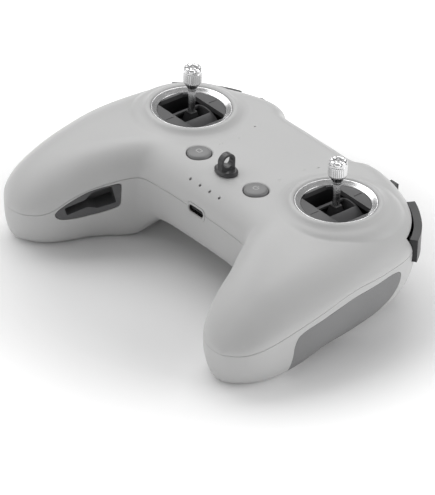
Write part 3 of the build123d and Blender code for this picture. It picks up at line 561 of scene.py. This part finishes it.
def plastic(name, base, rough=0.45, grain=3500.0, grain_h=0.006, blotch=0.03, edge=0.0, bevel=0.00022, spec=0.45, wear=0.12,
            metallic=0.0, coat=0.0, seed=0.0):
    """moulded plastic: fine spark-eroded grain, slow tone drift, rubbed edges and faint handling marks in the gloss"""
    m, nt, b = nodes_of(name)
    slow, _ = tex_noise(nt, 26.0, 3.0, 0.5, seed)
    fine, _ = tex_noise(nt, 900.0, 4.0, 0.6, seed + 1)
    c0 = tuple(max(0.0, v * (1 - blotch)) for v in base)
    c1 = tuple(min(1.0, v * (1 + blotch)) for v in base)
    f = ramp(nt, slow, "Fac", 0.3, 0.7, 0.0, 1.0)
    col = mix_colour(nt, f, "Result", c0, c1)
    f2 = ramp(nt, fine, "Fac", 0.35, 0.65, 0.0, 0.5)
    speck = mix_colour(nt, f2, "Result", (col, 2), tuple(min(1.0, v * (1 + blotch * 1.6)) for v in base))
    # worn edges: pointiness lifts the tone a little along convex edges
    geo = nt.nodes.new("ShaderNodeNewGeometry")
    pe = ramp(nt, geo, "Pointiness", 0.52, 0.62, 0.0, wear)
    br = nt.nodes.new("ShaderNodeMath"); br.operation = "MULTIPLY"
    scr, _ = tex_noise(nt, 210.0, 5.0, 0.65, seed + 2)
    sr = ramp(nt, scr, "Fac", 0.4, 0.62, 0.2, 1.0)
    link(nt, pe, "Result", br, 0); link(nt, sr, "Result", br, 1)
    worn = mix_colour(nt, br, "Value", (speck, 2), tuple(min(1.0, v * 1.25 + 0.03) for v in base))
    nt.links.new(worn.outputs[2], b.inputs["Base Color"])
    ro, _ = tex_noise(nt, 60.0, 5.0, 0.6, seed + 4)
    rr = ramp(nt, ro, "Fac", 0.3, 0.7, rough - 0.05, rough + 0.06)
    link(nt, rr, "Result", b, "Roughness")
    g, _ = tex_noise(nt, grain, 2.0, 0.5, seed + 3)
    bump = nt.nodes.new("ShaderNodeBump")
    bump.inputs["Strength"].default_value = 1.0
    bump.inputs["Distance"].default_value = grain_h / 1000.0
    link(nt, g, "Fac", bump, "Height")
    if bevel:
        bv_ = nt.nodes.new("ShaderNodeBevel")
        bv_.samples = 6
        bv_.inputs["Radius"].default_value = bevel
        link(nt, bv_, "Normal", bump, "Normal")
    link(nt, bump, "Normal", b, "Normal")
    b.inputs["Specular IOR Level"].default_value = spec
    b.inputs["Metallic"].default_value = metallic
    b.inputs["Coat Weight"].default_value = coat
    return m


def metal(name, base, rough=0.25, turned=True, grain_h=0.002, bevel=0.0001, seed=0.0, aniso=0.4, vary=0.06):
    """machined metal: fine tool lines round the turning axis, uneven gloss and slightly rubbed edges"""
    m, nt, b = nodes_of(name)
    slow, _ = tex_noise(nt, 120.0, 4.0, 0.6, seed)
    f = ramp(nt, slow, "Fac", 0.3, 0.7, 0.0, 1.0)
    col = mix_colour(nt, f, "Result", tuple(v * (1 - vary) for v in base), tuple(min(1, v * (1 + vary)) for v in base))
    geo = nt.nodes.new("ShaderNodeNewGeometry")
    pe = ramp(nt, geo, "Pointiness", 0.52, 0.6, 0.0, 0.5)
    worn = mix_colour(nt, pe, "Result", (col, 2), tuple(min(1, v * 1.15 + 0.05) for v in base))
    nt.links.new(worn.outputs[2], b.inputs["Base Color"])
    n, mp = tex_noise(nt, 2400.0, 3.0, 0.6, seed + 2)
    mp.inputs["Scale"].default_value = (0.12, 0.12, 1.0) if turned else (1.0, 0.08, 1.0)
    rr = ramp(nt, n, "Fac", 0.3, 0.7, rough - 0.06, rough + 0.08)
    link(nt, rr, "Result", b, "Roughness")
    bump = nt.nodes.new("ShaderNodeBump")
    bump.inputs["Strength"].default_value = 0.6
    bump.inputs["Distance"].default_value = grain_h / 1000.0
    link(nt, n, "Fac", bump, "Height")
    if bevel:
        bv_ = nt.nodes.new("ShaderNodeBevel")
        bv_.samples = 6
        bv_.inputs["Radius"].default_value = bevel
        link(nt, bv_, "Normal", bump, "Normal")
    link(nt, bump, "Normal", b, "Normal")
    b.inputs["Metallic"].default_value = 1.0
    return m


G3 = lambda v: (grey(v),) * 3
MAT = {
    "shell_grey": plastic("shell_grey_satin", (0.60, 0.60, 0.598), 0.42, grain_h=0.0045, blotch=0.012, wear=0.10),
    "shell_trim": plastic("shell_trim_satin", (0.57, 0.57, 0.57), 0.36, blotch=0.012, seed=1),
    "grip_rubber": plastic("grip_elastomer", (0.26, 0.26, 0.263), 0.62, grain=2600.0, grain_h=0.012, blotch=0.05, spec=0.35, seed=2),
    "insert_dark": plastic("insert_matte", (0.115, 0.115, 0.118), 0.55, blotch=0.06, seed=3),
    "key_black": plastic("key_black_satin", (0.028, 0.028, 0.029), 0.36, blotch=0.10, seed=4),
    "key_grey": plastic("key_grey_satin", (0.25, 0.25, 0.252), 0.40, blotch=0.03, bevel=0.00012, seed=5),
    "eye_dark": plastic("eye_coated", (0.045, 0.045, 0.047), 0.30, blotch=0.10, coat=0.15, seed=6),
    "lamp_clear": plastic("lamp_smoked", (0.03, 0.03, 0.03), 0.12, blotch=0.2, coat=0.6, seed=7),
    "ring_silver": metal("ring_turned", (0.80, 0.80, 0.805), 0.24),
    "gimbal_dark": plastic("gimbal_face", (0.075, 0.075, 0.077), 0.38, blotch=0.06, seed=8),
    "gimbal_black": plastic("gimbal_core", (0.022, 0.022, 0.023), 0.40, blotch=0.12, seed=9),
    "gimbal_mid": plastic("gimbal_drum_satin", (0.095, 0.095, 0.098), 0.36, blotch=0.06, seed=10),
    "stick_metal": metal("stick_machined", (0.74, 0.74, 0.745), 0.20, seed=3.0),
    "contact_metal": metal("contact_bright", (0.62, 0.61, 0.60), 0.22, turned=False, seed=5.0),
    "board_green": plastic("board_mask", (0.02, 0.07, 0.045), 0.30, blotch=0.15, seed=11),
    "board_dark": plastic("inner_dark", (0.02, 0.02, 0.021), 0.5, blotch=0.15, seed=12),
    "cell_wrap": plastic("cell_wrap_film", (0.04, 0.05, 0.08), 0.3, blotch=0.10, seed=13),
    "screw_steel": metal("screw_blackened", (0.16, 0.16, 0.165), 0.32, seed=8.0),
}
SLOT_OF = {s["node"]: s["material_slot"] for s in frame["record"].get("subparts", [])}


def dress(ob, slot):
    ob.data.materials.clear()
    ob.data.materials.append(MAT[slot])


dress(top_raw, "shell_grey")
dress(low_raw, "shell_grey")
for tag in ("left", "right"):
    dress(bpy.data.objects["grip_cover_" + tag], "grip_rubber")
for name, ob in NODES.items():
    slot = SLOT_OF[name]
    if not ob.data.materials:
        ob.data.materials.append(MAT[slot])
    for i in range(len(ob.data.materials)):
        ob.data.materials[i] = MAT[slot]
    for p in ob.data.polygons:
        p.use_smooth = True


# ------------------------------------------------------------------ sticks
PIVOT_Z, CAP_BASE = -13.0, 12.8


def cap_mesh(cx):
    """crowned, knurled stick cap: a lathe body whose radius and height follow the grooves round it"""
    zc = CAP_BASE
    # (radius, z, knurl depth, crown depth)
    P = [(1.53, -3.12, 0, 0), (1.74, -3.2, 0, 0), (1.86, -3.12, 0, 0), (1.95, -2.9, 0, 0), (2.0, -2.5, 0, 0), (2.0, -2.0, 0, 0), (2.06, -1.8, 0, 0),
         (2.9, -0.58, 0, 0), (3.45, 0.2, 0, 0), (3.66, 0.46, 0, 0), (3.74, 0.62, 0, 0), (3.74, 0.86, 0, 0), (3.78, 0.96, 0.02, 0),
         (3.88, 1.10, 0.10, 0), (3.90, 1.3, 0.19, 0), (3.90, 1.6, 0.20, 0), (3.90, 3.2, 0.20, 0), (3.90, 4.8, 0.20, 0), (3.90, 5.05, 0.19, 0),
         (3.86, 5.22, 0.10, 0), (3.76, 5.36, 0.02, 0), (3.70, 5.48, 0, 0), (3.66, 5.62, 0, 0), (3.66, 5.9, 0, 0.0), (3.68, 6.3, 0, 0.10), (3.66, 6.62, 0, 0.42),
         (3.62, 6.9, 0, 0.62), (3.5, 7.2, 0, 0.78), (3.3, 7.42, 0, 0.88), (3.0, 7.5, 0, 0.9), (2.4, 7.5, 0, 0.86), (2.1, 7.47, 0, 0.78), (1.9, 7.36, 0, 0.62), (1.78, 7.1, 0, 0.36), (1.68, 6.7, 0, 0.1),
         (1.6, 6.35, 0, 0), (1.45, 6.2, 0, 0), (0.9, 6.14, 0, 0)]
    n = 28 * 12
    verts, faces = [], []
    for r, z, kd, cd in P:
        for k in range(n):
            t = k / n
            g = (t * 28) % 1.0
            gr = max(0.0, 1.0 - abs(g - 0.5) / 0.26) if abs(g - 0.5) < 0.26 else 0.0
            gr = gr * gr * (3 - 2 * gr)
            c = (t * 8) % 1.0
            w = min(1.0, max(0.0, (0.19 - abs(c - 0.5)) / 0.07))
            w = w * w * (3 - 2 * w)
            a = 2 * math.pi * t
            rr = r - kd * gr
            verts.append((cx + rr * math.cos(a), rr * math.sin(a), zc + z - cd * w))
    m = len(P)
    for i in range(m - 1):
        for k in range(n):
            k2 = (k + 1) % n
            faces.append((i * n + k, i * n + k2, (i + 1) * n + k2, (i + 1) * n + k))
    top = len(verts); verts.append((cx, 0, zc + 6.12))
    bot = len(verts); verts.append((cx, 0, zc - 3.1))
    for k in range(n):
        k2 = (k + 1) % n
        faces.append(((m - 1) * n + k, (m - 1) * n + k2, top))
        faces.append((k2, k, bot))
    return new_object("cap", verts, faces)


def curve_profile(pts, per=4):
    """smooth open profile through given points"""
    p = np.asarray(pts, float); out = []
    for i in range(len(p) - 1):
        p0, p1, p2, p3 = p[max(i - 1, 0)], p[i], p[i + 1], p[min(i + 2, len(p) - 1)]
        for k in range(per):
            u = k / per
            out.append(0.5 * ((2 * p1) + (p2 - p0) * u + (2 * p0 - 5 * p1 + 4 * p2 - p3) * u ** 2 + (3 * p1 - p0 - 3 * p2 + p3) * u ** 3))
    out.append(p[-1])
    return [tuple(q) for q in out]


RING = [(14.06, -0.88), (14.06, 0.02), (14.10, 0.16), (14.22, 0.27), (14.45, 0.38), (15.0, 0.70), (15.6, 1.06), (16.0, 1.30),
        (16.18, 1.40), (16.34, 1.44), (16.44, 1.40), (16.49, 1.28), (16.49, -0.88)]
KEY = [(0, 0.62), (0.9, 0.612), (1.8, 0.585), (2.6, 0.53), (3.3, 0.455), (3.85, 0.36), (4.2, 0.26), (4.45, 0.14), (4.65, -0.04), (4.8, -0.26), (4.88, -0.5),
       (4.9, -0.8), (4.9, -4.15), (5.68, -4.3), (5.68, -4.88), (1.62, -4.88), (1.62, -5.58), (0, -5.58)]
for sx, tag in ((-1, "left"), (1, "right")):
    cx = sx * STICK
    ob = revolve("ring", RING, cx, 0, 200); smooth(ob, 40)
    dress(ob, "ring_silver"); piece(ob, "ring_bright_" + tag, "case", "ring_silver", "stick_ring_" + tag)
    ob = cap_mesh(cx); smooth(ob, 50)
    dress(ob, "stick_metal"); piece(ob, "cap_knurled_" + tag, tag + "_stick", "stick_metal", "stick_cap_" + tag)
    kx = sx * 17.7
    ob = revolve("key", KEY, kx, -18.3, 96); smooth(ob, 30)
    dress(ob, "key_grey"); piece(ob, "key_button_" + tag, tag + "_face_key", "key_grey", "face_key_" + tag)


def strip(pts, w, z0, z1, closed=False):
    """thin raised line along a run of points, as a closed solid"""
    p = np.asarray(pts, float); n = len(p)
    if closed:
        t = np.roll(p, -1, 0) - np.roll(p, 1, 0)
    else:
        t = np.gradient(p, axis=0)
    t /= np.linalg.norm(t, axis=1)[:, None]
    nr = np.stack([-t[:, 1], t[:, 0]], 1) * w / 2
    verts = []
    for q, r in zip(p, nr):
        verts += [(q[0] + r[0], q[1] + r[1], z0), (q[0] - r[0], q[1] - r[1], z0), (q[0] - r[0], q[1] - r[1], z1), (q[0] + r[0], q[1] + r[1], z1)]
    faces = []
    for i in range(n if closed else n - 1):
        a, b = 4 * i, 4 * ((i + 1) % n)
        for j in range(4):
            j2 = (j + 1) % 4
            faces.append((a + j, a + j2, b + j2, b + j))
    if not closed:
        faces += [(3, 2, 1, 0), (4 * n - 4, 4 * n - 3, 4 * n - 2, 4 * n - 1)]
    return new_object("strip", verts, faces)


# generic marks on the keys: a rounded square on the left, an open ring with a bar on the right
MARK = plastic("key_mark_pale", (0.55, 0.55, 0.55), 0.4, bevel=0.0, seed=21)
kx, ky = -17.7, -18.3
sq = rounded_rect(2.3, 1.9, 0.5, kx, ky, 5)
marks_l = [strip(sq, 0.3, 0.52, 0.628, True)]
kx = 17.7
arc = [(kx + 1.15 * math.cos(math.radians(a)), ky + 1.15 * math.sin(math.radians(a))) for a in range(128, 128 + 285, 8)]
marks_r = [strip(arc, 0.3, 0.52, 0.628), strip([(kx, ky + 0.45), (kx, ky + 1.0), (kx, ky + 1.55)], 0.3, 0.52, 0.626)]
for tag, ms in (("left", marks_l), ("right", marks_r)):
    for i, ob in enumerate(ms):
        ob.data.materials.append(MARK)
        piece(ob, "key_mark_%s_%d" % (tag, i), tag + "_face_key", "key_grey")


# ------------------------------------------------------------------ floor, light and camera
FLOOR_Z = 0.0
me = bpy.data.meshes.new("floor")
bm = bmesh.new()
bmesh.ops.create_grid(bm, x_segments=8, y_segments=8, size=6.0)
bm.to_mesh(me); bm.free()
floor = bpy.data.objects.new("floor", me)
floor.location = (0, 0, FLOOR_Z)
bpy.context.scene.collection.objects.link(floor)
fm, nt, b = nodes_of("floor_pale")
n, _ = tex_noise(nt, 9.0, 2.0, 0.5)
r = ramp(nt, n, "Fac", 0.3, 0.7, 0.0, 1.0)
c = mix_colour(nt, r, "Result", (0.895, 0.895, 0.897), (0.905, 0.905, 0.905))
nt.links.new(c.outputs[2], b.inputs["Base Color"])
b.inputs["Roughness"].default_value = 0.75
b.inputs["Specular IOR Level"].default_value = 0.2
# painted light: the floor glows by emission, with none within 6 cm of the floor's centre under the object, rising to
# white by 16 cm, so the backdrop whitens while the shadows round the object stay
tc = nt.nodes.new("ShaderNodeTexCoord")
ln = nt.nodes.new("ShaderNodeVectorMath"); ln.operation = "LENGTH"
link(nt, tc, "Object", ln, 0)
floor_painted_glow = nt.nodes.new("ShaderNodeMapRange"); floor_painted_glow.interpolation_type = "SMOOTHSTEP"
floor_painted_glow.inputs["From Min"].default_value = 0.06
floor_painted_glow.inputs["From Max"].default_value = 0.16
floor_painted_glow.inputs["To Min"].default_value = 0.0
floor_painted_glow.inputs["To Max"].default_value = 0.50
link(nt, ln, "Value", floor_painted_glow, "Value")
b.inputs["Emission Color"].default_value = (1.0, 1.0, 1.0, 1.0)
link(nt, floor_painted_glow, "Result", b, "Emission Strength")
floor.data.materials.append(fm)


def area(name, loc, target, size, power, shape="RECTANGLE", spread=180.0):
    d = bpy.data.lights.new(name, "AREA")
    d.shape = shape
    d.size, d.size_y = size
    d.energy = power
    d.spread = math.radians(spread)
    o = bpy.data.objects.new(name, d)
    o.location = loc
    v = Vector(target) - Vector(loc)
    o.rotation_mode = "QUATERNION"
    o.rotation_quaternion = v.to_track_quat("-Z", "Y")
    bpy.context.scene.collection.objects.link(o)
    return o


sc = bpy.context.scene
w = bpy.data.worlds.new("studio")
sc.world = w
w.use_nodes = True
w.node_tree.nodes["Background"].inputs[0].default_value = (1.0, 1.0, 1.0, 1.0)
w.node_tree.nodes["Background"].inputs[1].default_value = 0.31

A = math.radians(49.4)
r_ax = Vector((math.cos(A), math.sin(A), 0))
f_ax = Vector((-math.sin(A), math.cos(A), 0))      # level direction away from the camera


def place(right, away, up):
    return r_ax * right + f_ax * away + Vector((0, 0, up))


area("top_back", place(-0.25, 0.80, 1.10), (0, 0, 0.03), (1.5, 1.0), 10.5)
area("left_high", place(-1.05, 0.20, 0.95), (0, 0, 0.03), (1.0, 1.1), 3.2)
area("right_side", place(1.15, -0.15, 0.55), (0, 0, 0.03), (0.9, 0.8), 4.6)

E_, ROLL, F, DIST = math.radians(32.45), math.radians(2.0), 4500.0, 1800.0
d = Vector((-math.sin(A) * math.cos(E_), math.cos(A) * math.cos(E_), -math.sin(E_)))
u = r_ax.cross(d)
PP = (217.5, 247.5)
REF = (262.6, 156.1)
qx, qy = REF[0] - PP[0], REF[1] - PP[1]
cr, sr = math.cos(ROLL), math.sin(ROLL)
qx, qy = cr * qx + sr * qy, -sr * qx + cr * qy
C = -d * DIST - r_ax * (qx * DIST / F) + u * (qy * DIST / F)
right = r_ax * cr + u * sr
up = u * cr - r_ax * sr
rot = Matrix((right, up, -d)).transposed()
cd = bpy.data.cameras.new("camera")
cam = bpy.data.objects.new("camera", cd)
sc.collection.objects.link(cam)
cam.matrix_world = Matrix.Translation(Vector(row(C))) @ rot.to_4x4()
cd.sensor_fit = "AUTO"
cd.sensor_width = 36.0
cd.lens = F * 36.0 / 495.0
cd.clip_start, cd.clip_end = 0.1, 50.0
cd.dof.use_dof = False
sc.camera = cam
sc.view_settings.view_transform = "Standard"
sc.view_settings.look = "None"
sc.view_settings.exposure = 0.0
